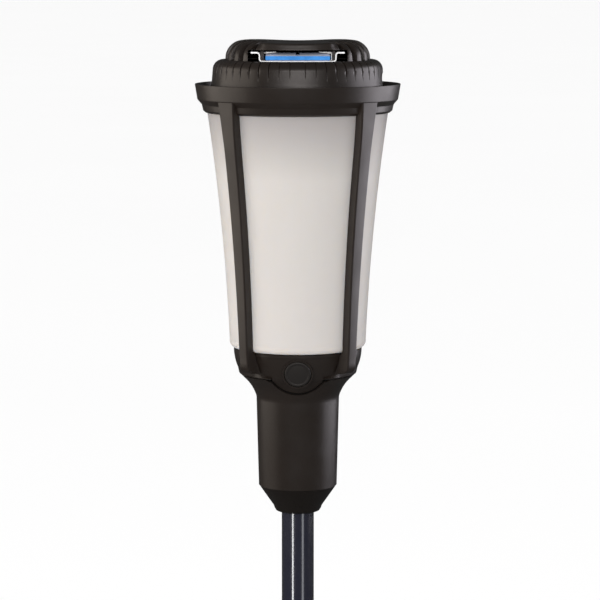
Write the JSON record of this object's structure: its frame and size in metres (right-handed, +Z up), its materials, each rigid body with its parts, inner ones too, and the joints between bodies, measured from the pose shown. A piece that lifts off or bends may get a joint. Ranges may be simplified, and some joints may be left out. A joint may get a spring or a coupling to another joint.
{
  "type": "garden torch lantern",
  "caption": "Garden torch on a ground spike: frosted flared lantern in a four-post cage, push button, dial, lift-off head and a heated repellent mat in the cap.",
  "frame": {"origin": "on the pole's axis at ground level, where the spike leaves the underside of the soil stop", "axes": "+Z up along the pole, -Y towards the front where the push button and the mat window are, +X to the right seen from the front"},
  "size_m": [0.1484, 0.1484, 1.4475],
  "materials": {
    "housing": "satin moulded, dark bronze",
    "nose": "satin moulded, dark bronze",
    "lens": "frosted, light-diffusing",
    "pole": "gloss powder coat",
    "spike": "satin powder coat",
    "black_plastic": "moulded",
    "button": "soft touch",
    "dial": "moulded",
    "tray": "bright plated sheet",
    "mat": "pressed fibre",
    "heater": "cast",
    "steel": "zinc plated",
    "brass": "machined",
    "circuit": "circuit board",
    "light": "encapsulated light chip",
    "cell": "printed wrap",
    "cartridge": "painted can",
    "white_plastic": "moulded",
    "gasket": "moulded"
  },
  "bodies": {
    "root": {"ground_spike": "spike", "stop_collar": "black_plastic", "lower_pole": "pole", "middle_pole": "pole", "upper_pole": "pole", "pole_connectors": "black_plastic", "nose_socket": "nose", "handle": "housing", "battery_carrier": "black_plastic", "cells": "cell", "cell_springs": "steel", "cell_contacts": "brass"},
    "head": {"cage": "housing", "lens": "lens", "base_cup": "housing", "front_panel": "housing", "seam_gasket": "gasket", "switch_board": "circuit", "light_switch": "black_plastic", "fuel_valve": "brass", "fuel_pipe": "brass", "burner": "brass", "igniter": "black_plastic", "ignition_lead": "gasket", "spark_electrode": "white_plastic", "contact_pins": "brass", "light_column": "white_plastic", "light_ring": "circuit", "light_chips": "light", "bulkhead": "heater", "cage_screws": "steel", "heater_deck": "steel", "heater_plate": "heater", "mat_tray": "tray", "mat_guides": "white_plastic", "lower_grille": "housing", "upper_grille": "housing"},
    "button": {"light_button": "button"},
    "dial": {"fuel_dial": "dial", "dial_stem": "brass"},
    "cartridge": {"fuel_cartridge": "cartridge"},
    "mat": {"repellent_mat": "mat"}
  },
  "joints": [
    {"name": "head_lift", "type": "slide", "parent": "root", "child": "head", "axis": [0, 0, 1], "range_m": [0, 0.11]},
    {"name": "light_button_press", "type": "slide", "parent": "head", "child": "button", "axis": [0, 0.9744, 0.225], "range_m": [0, 0.0018], "stiffness_N_per_m": 900},
    {"name": "fuel_dial_turn", "type": "hinge", "parent": "head", "child": "dial", "pos_m": [0, 0.0466, 1.0565], "axis": [0, 1, 0], "range_deg": [0, 90]},
    {"name": "cartridge_drop", "type": "slide", "parent": "head", "child": "cartridge", "axis": [0, 0, -1], "range_m": [0, 0.009]},
    {"name": "mat_slide", "type": "slide", "parent": "head", "child": "mat", "axis": [0, -1, 0], "range_m": [0, 0.046]}
  ]
}
